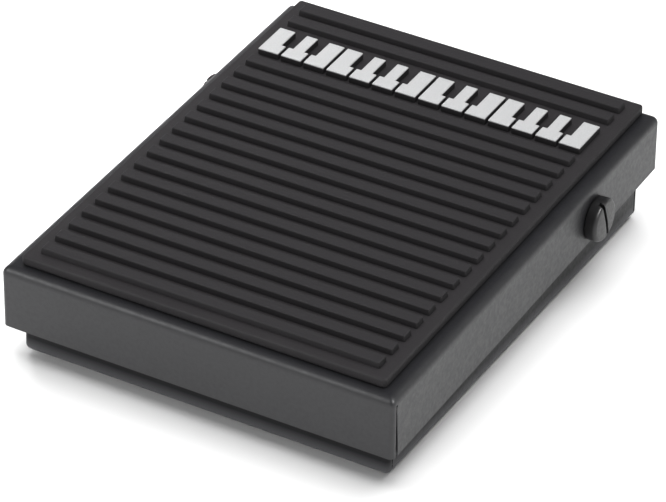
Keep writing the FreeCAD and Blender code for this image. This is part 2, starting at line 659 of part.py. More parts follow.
def switch_lever():
    """Thin steel lever with a rolled eye on the pin; its tip lies under the actuator button."""
    x = (SWITCH_X - LEVER_HALF_WIDTH, SWITCH_X + LEVER_HALF_WIDTH)
    blade_top = SWITCH_HINGE_Z + LEVER_EYE_RADIUS
    eye = rod_x(LEVER_EYE_RADIUS, x, SWITCH_HINGE_Y, SWITCH_HINGE_Z)
    blade = box(x, (CASE_FRONT - 0.4, SWITCH_HINGE_Y), (blade_top - LEVER_THICK, blade_top))
    lever = eye.fuse(blade).removeSplitter()
    bore = rod_x(LEVER_PIN_RADIUS + 0.05, (x[0] - 1, x[1] + 1), SWITCH_HINGE_Y, SWITCH_HINGE_Z)
    lever = lever.cut(bore)
    lever.rotate(FreeCAD.Vector(0, SWITCH_HINGE_Y, SWITCH_HINGE_Z), X_AXIS, -lever_slope())
    return lever


def switch_plunger():
    """Moulded pin that the lever pushes down; a collar keeps it inside the cover."""
    slope = math.radians(lever_slope())
    lever_gap = 0.04
    lever_under = (SWITCH_HINGE_Y - SWITCH_PLUNGER_Y) * math.tan(slope)
    lever_under += (LEVER_EYE_RADIUS - LEVER_THICK) / math.cos(slope)
    top = SWITCH_HINGE_Z + lever_under - lever_gap
    foot = BLADE_Z + BLADE_THICK + 0.15
    stem = rod_z(PLUNGER_RADIUS, SWITCH_X, SWITCH_PLUNGER_Y, (foot, top))
    stem = stem.makeFillet(0.6, edges_at_height(stem, top))
    stem = stem.makeFillet(0.7, edges_at_height(stem, foot))
    ceiling = CASE_TOP - CASE_WALL
    collar_top = ceiling - RUNNING_GAP
    collar_z = (collar_top - PLUNGER_COLLAR_HEIGHT, collar_top)
    collar = rod_z(PLUNGER_COLLAR_RADIUS, SWITCH_X, SWITCH_PLUNGER_Y, collar_z)
    return stem.fuse(collar).removeSplitter()


def contact_blade():
    """Thin strip inside the switch, rocking on its rolled end; the plunger tips it onto the contact."""
    half = 1.1
    x = (SWITCH_X - half, SWITCH_X + half)
    rear = terminal_places()[1]
    front = CASE_Y[0] + CASE_WALL + 0.3
    strip = box(x, (front, rear), (BLADE_Z, BLADE_Z + BLADE_THICK))
    return strip.fuse(rod_x(BLADE_BEAD_RADIUS, x, rear, BLADE_HINGE_Z)).removeSplitter()


def switch_terminals():
    """Fixed contact and blade support, which run down through the block and the board."""
    tops = (FIXED_CONTACT_Z, BLADE_HINGE_Z - BLADE_BEAD_RADIUS - FIT_GAP)
    bottom = BOARD_BOTTOM - 1.2
    posts = [box(*terminal_outline(y), (bottom, top)) for y, top in zip(terminal_places(), tops)]
    return Part.makeCompound(posts)


# ---- assembly -----------------------------------------------------------------------------------
def pedal_nodes():
    """The pieces that rock with the plate, at their slope at rest."""
    makers = (pedal_plate, tread_mat, emblem_foil, spring_cup, actuator_button)
    return {maker.__name__: tilt_to_rest(maker()) for maker in makers}


def base_nodes():
    makers = (
        base_tray, base_pad, front_stop_strip, rear_stop_strip, spring_post, return_spring,
        cord_grommet, board_standoffs, board_screws, switch_board, switch_case, switch_cover,
        lever_pin, switch_terminals, switch_lever, switch_plunger, contact_blade,
    )
    nodes = {maker.__name__: maker() for maker in makers}
    for maker in (pivot_screw, pivot_washer, pivot_nut):
        right = maker()
        nodes[maker.__name__ + "_right"] = right
        nodes[maker.__name__ + "_left"] = mirrored(right)
    return nodes


def save_all():
    """Move the pedal so that the origin is the middle of its footprint, and write each piece."""
    nodes = {**pedal_nodes(), **base_nodes()}
    whole = Part.makeCompound(list(nodes.values())).BoundBox
    shift = FreeCAD.Vector(0, -(whole.YMin + whole.YMax) / 2, 0)
    os.makedirs("parts", exist_ok=True)
    for name, shape in nodes.items():
        shape.translate(shift)
        shape.exportStep(os.path.join("parts", name + ".step"))
    print(f"size {whole.XLength:.3f} x {whole.YLength:.3f} x {whole.ZLength:.3f} mm")
    print(f"pivot at y {PIVOT_Y + shift.y:.4f}, z {PIVOT_Z:.4f}; shift {shift.y:.4f}")
    print(f"lever hinge at y {SWITCH_HINGE_Y + shift.y:.4f}, z {SWITCH_HINGE_Z:.4f}")
    print(f"blade hinge at y {terminal_places()[1] + shift.y:.4f}, z {BLADE_HINGE_Z:.4f}")
    print(f"cord inlet mouth at y {TRAY_REAR + 1.6 + shift.y:.4f}, z {GROMMET_Z:.4f}")
    print(f"spring foot at z {spring_foot():.4f}")


save_all()
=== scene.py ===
"""
Sustain pedal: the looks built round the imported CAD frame.

Metres, in the CAD's own frame. The visible pieces are rebuilt as detailed meshes that replace their
CAD nodes; the parts inside keep their CAD shape and get better materials. Pieces of the pedal are
first made in "plate coordinates" (x across, y back from the plate's front edge, z up from its top
face) and then placed at the slope that the plate has at rest.
"""

import json
import math

import bmesh
import bpy
from mathutils import Matrix, Vector


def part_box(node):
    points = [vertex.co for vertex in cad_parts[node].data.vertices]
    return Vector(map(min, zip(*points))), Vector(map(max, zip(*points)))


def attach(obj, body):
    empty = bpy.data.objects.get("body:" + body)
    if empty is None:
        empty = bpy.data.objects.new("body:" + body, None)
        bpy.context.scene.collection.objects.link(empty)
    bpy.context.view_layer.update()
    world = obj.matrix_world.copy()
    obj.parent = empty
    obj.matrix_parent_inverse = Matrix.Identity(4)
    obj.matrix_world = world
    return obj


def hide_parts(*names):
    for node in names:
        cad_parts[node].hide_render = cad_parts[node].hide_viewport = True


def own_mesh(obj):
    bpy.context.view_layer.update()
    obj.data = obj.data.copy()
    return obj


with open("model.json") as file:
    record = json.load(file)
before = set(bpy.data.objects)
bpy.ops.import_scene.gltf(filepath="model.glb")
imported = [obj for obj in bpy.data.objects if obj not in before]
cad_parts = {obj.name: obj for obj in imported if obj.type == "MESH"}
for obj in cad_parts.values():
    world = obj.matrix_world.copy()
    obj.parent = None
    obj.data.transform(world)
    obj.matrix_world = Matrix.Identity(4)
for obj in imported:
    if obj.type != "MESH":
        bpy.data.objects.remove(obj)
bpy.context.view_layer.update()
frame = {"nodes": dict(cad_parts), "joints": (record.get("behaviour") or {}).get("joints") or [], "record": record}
MM = 0.001

# ---- driving dimensions, as in the CAD source ---------------------------------------------------
PLATE_WIDTH = 75 * MM
PLATE_LENGTH = 97 * MM
SHEET = 1.0 * MM
PLATE_BEND = 1.5 * MM
FRONT_FLANGE = 12 * MM
SIDE_FLANGE_REAR = 11 * MM
REAR_FLANGE = 7 * MM
REST_TILT = math.radians(1.3)
PIVOT_FROM_FRONT = 71.8 * MM
PIVOT_BELOW_TOP = 6.8 * MM
BUTTON_X = 17 * MM
BUTTON_FROM_FRONT = 45 * MM
BUTTON_STEM_HOLE_RADIUS = 1.52 * MM
BUTTON_STEM_HOLE_TOP = -0.1 * MM

TRAY_FRONT_INSET = 3.1 * MM
TRAY_BEND = 1.3 * MM
FRONT_WALL_TOP = 11.9 * MM
REAR_WALL_TOP = 17.4 * MM
WALL_SLOPE_END = 58 * MM
WALL_SLOPE_START = 2 * MM
INLET_HOLE_RADIUS = 3.4 * MM
PAD_CORNER = 3 * MM

MAT_MARGIN = 2.7 * MM
MAT_FRONT = 2.2 * MM
MAT_REAR_MARGIN = 1.0 * MM
MAT_THICK = 1.8 * MM
MAT_CORNER = 0.7 * MM
MAT_EDGE_ROUND = 0.4 * MM
RIB_COUNT_FRONT = 17
RIB_COUNT_REAR = 2
RIB_PITCH = 4.21 * MM
RIB_WIDTH = 2.6 * MM
RIB_HEIGHT = 1.1 * MM
RIB_FRONT_START = 4.43 * MM
RIB_REAR_START = 86.76 * MM
RIB_END_MARGIN = 2.4 * MM

KEY_COUNT = 14
KEY_LENGTH = 8.0 * MM
KEY_GAP = 0.55 * MM
KEY_START = 76.15 * MM
BLACK_KEY_WIDTH = 2.3 * MM
BLACK_KEY_LENGTH = 5.0 * MM
MOTIF_HEIGHT = 1.0 * MM
FOIL_THICK = 0.25 * MM

SCREW_HEAD_RADIUS = 4.0 * MM
SCREW_HEAD_HEIGHT = 2.4 * MM
SCREW_RADIUS = 2.0 * MM
RUNNING_GAP = 0.06 * MM          # round the screws' shanks
SLOT_WIDTH = 0.7 * MM
SLOT_DEPTH = 1.1 * MM
SLOT_ANGLE = math.radians(18)

SPRING_WIRE = 0.6 * MM           # radius of the wire
SPRING_RADIUS = 4.6 * MM         # of the coil, to the middle of the wire
SPRING_TURNS = 6.5

# ---- finer sizes of the visual pieces, which the CAD leaves out or sets a little differently -----
SHEET_EDGE_ROUND = 0.14 * MM
RIB_EDGE_ROUND = 0.28 * MM
RELIEF_SINK = 0.3 * MM           # how far the ribs and keys reach into the mat's sheet
SCREW_HEAD_ROUND = 0.7 * MM

# ---- places read from the frame -----------------------------------------------------------------
PIVOT = Vector(next(j["pos_m"] for j in frame["joints"] if j["name"] == "pedal_pivot"))
PLATE_PLACE = (
    Matrix.Translation(PIVOT)
    @ Matrix.Rotation(REST_TILT, 4, "X")
    @ Matrix.Translation((0, -PIVOT_FROM_FRONT, PIVOT_BELOW_TOP))
)
TRAY_LOW, TRAY_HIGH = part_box("base_tray")


# ---- mesh helpers -------------------------------------------------------------------------------
def new_object(name, mesh):
    obj = bpy.data.objects.new(name, mesh)
    bpy.context.scene.collection.objects.link(obj)
    return obj


def object_from_bmesh(name, bm, smooth=True):
    bmesh.ops.recalc_face_normals(bm, faces=bm.faces)
    for face in bm.faces:
        face.smooth = smooth
    mesh = bpy.data.meshes.new(name)
    bm.to_mesh(mesh)
    bm.free()
    return new_object(name, mesh)


def bevel(obj, width, segments=2, angle=math.radians(35)):
    """Round the sharp edges, and keep the large faces flat in shading."""
    modifier = obj.modifiers.new("edges", "BEVEL")
    modifier.width = width
    modifier.segments = segments
    modifier.limit_method = "ANGLE"
    modifier.angle_limit = angle
    modifier.use_clamp_overlap = True
    weighted = obj.modifiers.new("normals", "WEIGHTED_NORMAL")
    weighted.keep_sharp = False


def cut(obj, cutter):
    """Subtract the cutter, which is then removed."""
    modifier = obj.modifiers.new("cut", "BOOLEAN")
    modifier.operation = "DIFFERENCE"
    modifier.solver = "EXACT"
    modifier.object = cutter
    bake(obj)
    bpy.data.objects.remove(cutter)


def bake(obj):
    """Turn the modifiers' result into the object's own mesh."""
    bpy.context.view_layer.update()
    graph = bpy.context.evaluated_depsgraph_get()
    mesh = bpy.data.meshes.new_from_object(obj.evaluated_get(graph))
    obj.modifiers.clear()
    obj.data = mesh
    for polygon in mesh.polygons:
        polygon.use_smooth = True


def place(obj, matrix):
    obj.data.transform(matrix)
    return obj


def finish_piece(obj, body, slot, material, *nodes):
    """Give a piece its finish and its body, and let it stand for its CAD nodes."""
    obj.data.materials.clear()
    obj.data.materials.append(material)
    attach(obj, body)
    if nodes:
        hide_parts(*nodes)
    return obj


def add_prism(bm, outline, low, high):
    """A closed prism over a list of (x, y) corners, counter-clockwise."""
    lower = [bm.verts.new((x, y, low)) for x, y in outline]
    upper = [bm.verts.new((x, y, high)) for x, y in outline]
    bm.faces.new(list(reversed(lower)))
    bm.faces.new(upper)
    count = len(outline)
    for i in range(count):
        j = (i + 1) % count
        bm.faces.new((lower[i], lower[j], upper[j], upper[i]))


def rounded_outline(x, y, radius, steps=8):
    """Corners of a rectangle between the pairs x and y, each turned into an arc."""
    corners = (
        (x[1] - radius, y[0] + radius, -90),
        (x[1] - radius, y[1] - radius, 0),
        (x[0] + radius, y[1] - radius, 90),
        (x[0] + radius, y[0] + radius, 180),
    )
    points = []
    for cx, cy, start in corners:
        for i in range(steps + 1):
            angle = math.radians(start + 90 * i / steps)
            points.append((cx + radius * math.cos(angle), cy + radius * math.sin(angle)))
    return points


def lathe_x(bm, profile, centre, segments=64):
    """Turn a profile of (x, radius) about the line along X through centre, with closed ends."""
    rings = []
    for x, radius in profile:
        if radius == 0:
            rings.append([bm.verts.new((centre.x + x, centre.y, centre.z))])
            continue
        ring = []
        for i in range(segments):
            angle = 2 * math.pi * i / segments
            y = centre.y + radius * math.cos(angle)
            z = centre.z + radius * math.sin(angle)
            ring.append(bm.verts.new((centre.x + x, y, z)))
        rings.append(ring)
    for first, second in zip(rings, rings[1:]):
        for i in range(segments):
            j = (i + 1) % segments
            corners = [first[i % len(first)], first[j % len(first)]]
            corners += [second[j % len(second)], second[i % len(second)]]
            unique = list(dict.fromkeys(corners))
            if len(unique) > 2:
                bm.faces.new(unique)


def cylinder(name, radius, start, end, segments=48):
    """A plain closed cylinder between two points, used for cutting."""
    start = Vector(start)
    end = Vector(end)
    bm = bmesh.new()
    bmesh.ops.create_cone(
        bm, cap_ends=True, segments=segments, radius1=radius, radius2=radius, depth=(end - start).length
    )
    turn = (end - start).to_track_quat("Z", "Y").to_matrix().to_4x4()
    bmesh.ops.transform(bm, matrix=Matrix.Translation((start + end) / 2) @ turn, verts=bm.verts)
    return object_from_bmesh(name, bm)


# ---- folded sheet -------------------------------------------------------------------------------
SEAM_CLOSED = 0.2 * MM
SEAM_OPEN = 0.8 * MM
SEAM_RELIEF = 0.35 * MM
CORNER_STEPS = 6
CORNER_TOP = 0.3 * MM
CORNER_FOOT = 0.9 * MM


def bend_ring(width, length, bend, angle):
    """
    One level of a folded sheet's bend as points right round it, counter-clockwise from the front
    left corner. Each side edge, and the rear edge, has points at both edges of its corner seams.
    """
    reach = bend * math.sin(angle)
    half = width / 2 - bend + reach
    front = bend - reach
    rear = length - front
    z = bend * (math.cos(angle) - 1)
    corner = CORNER_TOP + (CORNER_FOOT - CORNER_TOP) * math.sin(angle) ** 2
    near = max(SHEET, front + corner + 0.05 * MM)
    far = near + SEAM_CLOSED
    side_seams = [near, far, length - far, length - near]
    rear_seams = [width / 2 - near, width / 2 - far]
    turns = [math.radians(90 * i / CORNER_STEPS) for i in range(CORNER_STEPS + 1)]
    arc_out = [(corner * (1 - math.sin(t)), corner * (1 - math.cos(t))) for t in turns]
    points = [(-half + a, front + b) for b, a in arc_out]
    points += [(half - a, front + b) for a, b in arc_out]
    points += [(half, y) for y in side_seams]
    points += [(half - a, rear - b) for b, a in arc_out]
    points += [(x, rear) for x in rear_seams]
    points += [(-x, rear) for x in reversed(rear_seams)]
    points += [(-half + a, rear - b) for a, b in arc_out]
    points += [(-half, y) for y in reversed(side_seams)]
    return [Vector((x, y, z)) for x, y in points]


def seam_gap(z, top, bottom):
    """Width of a corner seam at height z: a wedge that opens downwards, with a round hole on top."""
    wedge = SEAM_CLOSED + (SEAM_OPEN - SEAM_CLOSED) * (z - top) / (bottom - top)
    offset = z - (top - SEAM_RELIEF * 0.6)
    if abs(offset) < SEAM_RELIEF:
        return max(wedge, SEAM_CLOSED / 2 + math.sqrt(SEAM_RELIEF ** 2 - offset ** 2))
    return wedge


def add_flange(bm, edge, depth_at, at_seam):
    """
    Hang a flange on the lower edge of a bend. at_seam gives, for a vertex that stands at a seam,
    the index of the coordinate that moves, where it moves from and which way. The rows are close
    together at the top, where the seam's round hole is.
    """
    shares = [0.0, 0.012, 0.024, 0.036, 0.048, 0.06, 0.08, 0.3, 0.6, 1.0]
    top = edge[0].co.z
    rows = [edge]
    for share in shares[1:]:
        row = []
        for vert in edge:
            place_at = vert.co.copy()
            bottom = -depth_at(vert.co.y)
            place_at.z = top + (bottom - top) * share
            if vert in at_seam:
                coordinate, start, way = at_seam[vert]
                place_at[coordinate] = start + way * seam_gap(place_at.z, top, bottom)
            row.append(bm.verts.new(place_at))
        rows.append(row)
    for upper, lower in zip(rows, rows[1:]):
        for i in range(len(upper) - 1):
            bm.faces.new((upper[i], lower[i], lower[i + 1], upper[i + 1]))


def split_edge(bm, ends, middle):
    """Put the middle vertices into the edge between the two ends, in every face that has it."""
    edge = bm.edges.get(ends)
    for face in list(edge.link_faces):
        ordered = list(face.verts)
        i = ordered.index(ends[0])
        j = ordered.index(ends[1])
        if (i + 1) % len(ordered) == j:
            ordered = ordered[: i + 1] + middle + ordered[i + 1:]
        else:
            ordered = ordered[: j + 1] + list(reversed(middle)) + ordered[j + 1:]
        bm.faces.remove(face)
        bm.faces.new(ordered)
    bm.edges.remove(edge)


def folded_sheet(name, width, length, bend, front_depth, rear_depth, side_depths, rear_wraps):
    """
    A sheet folded down on four sides, as its outer surface with a Solidify modifier. side_depths
    lists (y, depth) along a side flange. The front flange wraps round its corners, and so does
    the rear one if rear_wraps is true; otherwise the side flanges wrap to the rear.
    """
    bend_steps = 7
    bm = bmesh.new()
    rings = []
    for i in range(bend_steps + 1):
        ring = bend_ring(width, length, bend, math.radians(90 * i / bend_steps))
        rings.append([bm.verts.new(p) for p in ring])
    bm.faces.new(rings[0])
    count = len(rings[0])
    for upper, lower in zip(rings, rings[1:]):
        for i in range(count):
            j = (i + 1) % count
            bm.faces.new((upper[i], lower[i], lower[j], upper[j]))

    def depth_at(y):
        for (y0, d0), (y1, d1) in zip(side_depths, side_depths[1:]):
            if y <= y1:
                return d0 + (d1 - d0) * (y - y0) / (y1 - y0)
        return side_depths[-1][1]

    last = rings[-1]
    arc = CORNER_STEPS + 1
    right = 2 * arc
    rear = right + 4 + arc
    left = rear + 4 + arc
    right_side = last[right + 1: right + 3]
    left_side = last[left + 1: left + 3]
    at_seam = {}
    for vert in (right_side[0], left_side[1]):
        at_seam[vert] = (1, SHEET, 1)
    add_flange(bm, last[-1:] + last[: right + 1], lambda y: front_depth, {})
    bends = [y for y, _ in side_depths if 2 * SHEET < y < length - 2 * SHEET]
    for ends in (right_side, left_side):
        forward = sorted(ends, key=lambda v: v.co.y)
        middle = [bm.verts.new((forward[0].co.x, y, -bend)) for y in bends]
        if middle:
            split_edge(bm, forward, middle)
        if ends is left_side:
            middle.reverse()
        ends[1:1] = middle
    if rear_wraps:
        at_seam[right_side[-1]] = (1, length - SHEET, -1)
        at_seam[left_side[0]] = (1, length - SHEET, -1)
        add_flange(bm, last[right + 3: left + 1], lambda y: rear_depth, {})
    else:
        at_seam[last[rear + 1]] = (0, width / 2 - SHEET, -1)
        at_seam[last[rear + 2]] = (0, SHEET - width / 2, 1)
        right_side += last[right + 3: rear + 1]
        left_side = last[rear + 3: left + 1] + left_side
        add_flange(bm, last[rear + 1: rear + 3], lambda y: rear_depth, at_seam)
    add_flange(bm, right_side, depth_at, at_seam)
    add_flange(bm, left_side, depth_at, at_seam)

    obj = object_from_bmesh(name, bm)
    solid = obj.modifiers.new("thickness", "SOLIDIFY")
    solid.thickness = SHEET
    solid.offset = -1
    solid.use_even_offset = True
    return obj


# ---- pedal --------------------------------------------------------------------------------------
def pedal_plate(material):
    side_depths = [(0, FRONT_FLANGE), (PLATE_LENGTH / 2, (FRONT_FLANGE + SIDE_FLANGE_REAR) / 2)]
    side_depths.append((PLATE_LENGTH, SIDE_FLANGE_REAR))
    plate = folded_sheet(
        "pedal_plate_painted", PLATE_WIDTH, PLATE_LENGTH, PLATE_BEND,
        FRONT_FLANGE, REAR_FLANGE, side_depths, False
    )
    bake(plate)
    hole_ends = [(side * PLATE_WIDTH, PIVOT_FROM_FRONT, -PIVOT_BELOW_TOP) for side in (-1, 1)]
    cut(plate, cylinder("hole", SCREW_RADIUS + RUNNING_GAP, *hole_ends))
    stem_hole_foot = (BUTTON_X, BUTTON_FROM_FRONT, -3 * SHEET)
    stem_hole_top = (BUTTON_X, BUTTON_FROM_FRONT, BUTTON_STEM_HOLE_TOP)
    cut(plate, cylinder("hole", BUTTON_STEM_HOLE_RADIUS, stem_hole_foot, stem_hole_top))
    bevel(plate, SHEET_EDGE_ROUND, 2)
    place(plate, PLATE_PLACE)
    finish_piece(plate, "pedal", "black_paint", material, "pedal_plate")


def rib_starts():
    starts = [RIB_FRONT_START + i * RIB_PITCH for i in range(RIB_COUNT_FRONT)]
    return starts + [RIB_REAR_START + i * RIB_PITCH for i in range(RIB_COUNT_REAR)]


def add_rib(bm, y_start):
    """A tapered bar with rounded ends; its foot is sunk a little into the mat's sheet."""
    lean = 0.16 * MM
    spread_at_foot = 0.04 * MM
    end_round = 0.32 * MM
    x_end = PLATE_WIDTH / 2 - MAT_MARGIN - RIB_END_MARGIN
    levels = ((MAT_THICK - RELIEF_SINK, -spread_at_foot), (MAT_THICK + RIB_HEIGHT, lean))
    rings = []
    for z, inset in levels:
        x = (-x_end + inset, x_end - inset)
        y = (y_start + inset, y_start + RIB_WIDTH - inset)
        outline = rounded_outline(x, y, end_round - inset, 4)
        rings.append([bm.verts.new((px, py, z)) for px, py in outline])
    lower, upper = rings
    bm.faces.new(list(reversed(lower)))
    bm.faces.new(upper)
    for i in range(len(lower)):
        j = (i + 1) % len(lower)
        bm.faces.new((lower[i], lower[j], upper[j], upper[i]))


def tread_mat(material):
    half = PLATE_WIDTH / 2 - MAT_MARGIN
    x = (-half, half)
    y = (MAT_FRONT, PLATE_LENGTH - MAT_REAR_MARGIN)
    bm = bmesh.new()
    add_prism(bm, rounded_outline(x, y, MAT_CORNER), 0.01 * MM, MAT_THICK)
    sheet = object_from_bmesh("tread_sheet", bm)
    bevel(sheet, MAT_EDGE_ROUND, 4)
    place(sheet, PLATE_PLACE)
    finish_piece(sheet, "pedal", "tread_rubber", material, "tread_mat")

    bm = bmesh.new()
    for start in rib_starts():
        add_rib(bm, start)
    ribs = object_from_bmesh("tread_ribs", bm)
    bevel(ribs, RIB_EDGE_ROUND, 3)
    place(ribs, PLATE_PLACE)
    finish_piece(ribs, "pedal", "tread_rubber", material, "tread_mat")


def key_outlines(shrink=0.0):
    """Outlines of the motif's keys, which are notched where the black keys lie."""
    total = PLATE_WIDTH - 2 * (MAT_MARGIN + RIB_END_MARGIN)
    pitch = total / KEY_COUNT
    gaps_with_black_key = (0, 1, 3, 4, 5)
    y0 = KEY_START + shrink
    y1 = KEY_START + KEY_LENGTH - shrink
    y_notch = KEY_START + KEY_LENGTH - BLACK_KEY_LENGTH - shrink
    outlines = []
    for i in range(KEY_COUNT):
        left = -total / 2 + i * pitch
        right = left + pitch
        x0 = left + KEY_GAP / 2 + shrink
        x1 = right - KEY_GAP / 2 - shrink
        outline = [(x0, y0), (x1, y0)]
        if i % 7 in gaps_with_black_key and i < KEY_COUNT - 1:
            notch = right - BLACK_KEY_WIDTH / 2 - shrink
            outline += [(x1, y_notch), (notch, y_notch), (notch, y1)]
        else:
            outline.append((x1, y1))
        if (i - 1) % 7 in gaps_with_black_key and i > 0:
            notch = left + BLACK_KEY_WIDTH / 2 + shrink
            outline += [(notch, y1), (notch, y_notch), (x0, y_notch)]
        else:
            outline.append((x0, y1))
        outlines.append(outline)
    return outlines


def key_motif(rubber, foil):
    """Raised rubber keys with silver foil on their tops."""
    bm = bmesh.new()
    for outline in key_outlines():
        add_prism(bm, outline, MAT_THICK - RELIEF_SINK, MAT_THICK + MOTIF_HEIGHT)
    keys = object_from_bmesh("motif_keys", bm)
    bevel(keys, 0.12 * MM, 2)
    place(keys, PLATE_PLACE)
    finish_piece(keys, "pedal", "tread_rubber", rubber, "tread_mat")

    key_top = MAT_THICK + MOTIF_HEIGHT
    foil_inset = 0.05 * MM
    bm = bmesh.new()
    for outline in key_outlines(foil_inset):
        add_prism(bm, outline, key_top, key_top + FOIL_THICK)
    caps = object_from_bmesh("motif_foil", bm)
    bevel(caps, 0.1 * MM, 3)
    place(caps, PLATE_PLACE)
    finish_piece(caps, "pedal", "silver_foil", foil, "emblem_foil")


# ---- base ---------------------------------------------------------------------------------------
def base_tray(material):
    """The same folded sheet, turned over: it is built hanging down and then rolled about Y."""
    width = TRAY_HIGH.x - TRAY_LOW.x
    length = TRAY_HIGH.y - TRAY_LOW.y
    bottom = TRAY_LOW.z
    front_depth = FRONT_WALL_TOP - bottom
    rear_depth = REAR_WALL_TOP - bottom
    slope_end = WALL_SLOPE_END - TRAY_FRONT_INSET
    side_depths = [(0, front_depth), (WALL_SLOPE_START, front_depth)]
    side_depths += [(slope_end, rear_depth), (length, rear_depth)]
    tray = folded_sheet(
        "base_tray_painted", width, length, TRAY_BEND, front_depth, rear_depth, side_depths, True
    )
    bake(tray)
    turn = Matrix.Translation((0, TRAY_LOW.y, bottom)) @ Matrix.Rotation(math.pi, 4, "Y")
    place(tray, turn)
    hole_ends = [(side * PLATE_WIDTH, PIVOT.y, PIVOT.z) for side in (-1, 1)]
    cut(tray, cylinder("hole", SCREW_RADIUS + RUNNING_GAP, *hole_ends))
    inlet = grommet_centre()
    reach = 4 * MM
    inlet_ends = [(0, inlet.y - reach, inlet.z), (0, inlet.y + reach, inlet.z)]
    cut(tray, cylinder("hole", INLET_HOLE_RADIUS, *inlet_ends))
    bevel(tray, SHEET_EDGE_ROUND, 2)
    finish_piece(tray, "base", "black_paint", material, "base_tray")


def base_pad(material):
    low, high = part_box("base_pad")
    bm = bmesh.new()
    add_prism(bm, rounded_outline((low.x, high.x), (low.y, high.y), PAD_CORNER), low.z, high.z)
    pad = object_from_bmesh("base_pad_rubber", bm)
    bevel(pad, 0.2 * MM, 3)
    finish_piece(pad, "base", "pad_rubber", material, "base_pad")


def grommet_centre():
    low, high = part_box("cord_grommet")
    return Vector((0, (low.y + high.y) / 2, (low.z + high.z) / 2))


def pivot_screw(side, material):
    """Slotted pan head with its shank; side is 1 on the right and -1 on the left."""
    name = "right" if side > 0 else "left"
    low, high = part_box("pivot_screw_" + name)
    face = high.x if side > 0 else -low.x
    inner = low.x if side > 0 else -high.x
    back = face - SCREW_HEAD_HEIGHT
    rim = SCREW_HEAD_ROUND
    dome = 0.12 * MM
    tip_chamfer = 0.3 * MM
    back_chamfer = 0.15 * MM
    profile = [(inner, 0.0), (inner, SCREW_RADIUS - tip_chamfer), (inner + tip_chamfer, SCREW_RADIUS)]
    profile += [(back, SCREW_RADIUS), (back, SCREW_HEAD_RADIUS - back_chamfer)]
    profile.append((back + back_chamfer, SCREW_HEAD_RADIUS))
    steps = 8
    for i in range(steps + 1):
        angle = math.radians(90 * i / steps)
        x = face - dome - rim + rim * math.sin(angle)
        profile.append((x, SCREW_HEAD_RADIUS - rim + rim * math.cos(angle)))
    profile.append((face - dome * 0.45, SCREW_HEAD_RADIUS * 0.5))
    profile.append((face - dome * 0.1, SCREW_HEAD_RADIUS * 0.2))
    profile.append((face, 0.0))
    bm = bmesh.new()
    lathe_x(bm, profile, Vector((0, PIVOT.y, PIVOT.z)), 72)
    screw = object_from_bmesh("pivot_screw_" + name + "_painted", bm)

    bm = bmesh.new()
    bmesh.ops.create_cube(bm, size=1)
    size = Matrix.Diagonal((2 * SLOT_DEPTH, SLOT_WIDTH, 3 * SCREW_HEAD_RADIUS, 1))
    turn = Matrix.Rotation(SLOT_ANGLE, 4, "X")
    slot_place = Matrix.Translation((face, PIVOT.y, PIVOT.z)) @ turn @ size
    bmesh.ops.transform(bm, matrix=slot_place, verts=bm.verts)
    cut(screw, object_from_bmesh("slot", bm, False))
    if side < 0:
        mirror_x(screw)
    bevel(screw, 0.1 * MM, 2)
    finish_piece(screw, "base", "screw_paint", material, "pivot_screw_" + name)


def mirror_x(obj):
    """Swap left and right, and turn the faces outwards again."""
    obj.data.transform(Matrix.Diagonal((-1, 1, 1, 1)))
    obj.data.flip_normals()


def return_spring(material):
    """Round wire on a helix whose first and last turns all but touch the next."""
    low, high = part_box("return_spring")
    centre = (low + high) / 2
    rise = high.z - low.z - 2 * SPRING_WIRE
    closed_rise = 2.04 * SPRING_WIRE
    open_pitch = (rise - 2 * closed_rise) / (SPRING_TURNS - 2)

    def height_at(turn):
        if turn < 1:
            return closed_rise * turn
        if turn > SPRING_TURNS - 1:
            return rise - closed_rise * (SPRING_TURNS - turn)
        return closed_rise + open_pitch * (turn - 1)

    steps_per_turn = 40
    steps = round(SPRING_TURNS * steps_per_turn)
    curve = bpy.data.curves.new("return_spring_wire", "CURVE")
    curve.dimensions = "3D"
    curve.bevel_depth = SPRING_WIRE
    curve.bevel_resolution = 5
    curve.use_fill_caps = True
    spline = curve.splines.new("POLY")
    spline.points.add(steps)
    for i in range(steps + 1):
        turn = i / steps_per_turn
        angle = 2 * math.pi * turn
        x = centre.x + SPRING_RADIUS * math.cos(angle)
        y = centre.y + SPRING_RADIUS * math.sin(angle)
        spline.points[i].co = (x, y, low.z + SPRING_WIRE + height_at(turn), 1)
    wire = new_object("wire", curve)
    bpy.context.view_layer.update()
    graph = bpy.context.evaluated_depsgraph_get()
    mesh = bpy.data.meshes.new_from_object(wire.evaluated_get(graph))
    bpy.data.objects.remove(wire)
    spring = new_object("return_spring_wire", mesh)
    for polygon in mesh.polygons:
        polygon.use_smooth = True
    finish_piece(spring, "base", "spring_steel", material, "return_spring")
    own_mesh(spring)


# ---- materials ----------------------------------------------------------------------------------
NOISE_LOW = 0.3                  # most of a noise texture's values lie between these two
NOISE_HIGH = 0.7
PAINTED_LIGHT_FULL = 1.0 * MM             # height up to which the tray's foot is fully painted lighter, and where that painted light ends
PAINTED_LIGHT_END = 3.4 * MM
TOP_SHADE_DEPTH = 0.5 * MM            # over which the ribs' painted top shade fades, down from their tops


def new_material(name, color, roughness, metallic=0.0, ior=1.5):
    """A Principled material; its nodes, links and shader come back with it."""
    material = bpy.data.materials.new(name)
    material.use_nodes = True
    nodes = material.node_tree.nodes
    shader = nodes["Principled BSDF"]
    shader.inputs["Base Color"].default_value = (*color, 1)
    shader.inputs["Roughness"].default_value = roughness
    shader.inputs["Metallic"].default_value = metallic
    shader.inputs["IOR"].default_value = ior
    return material, nodes, material.node_tree.links, shader


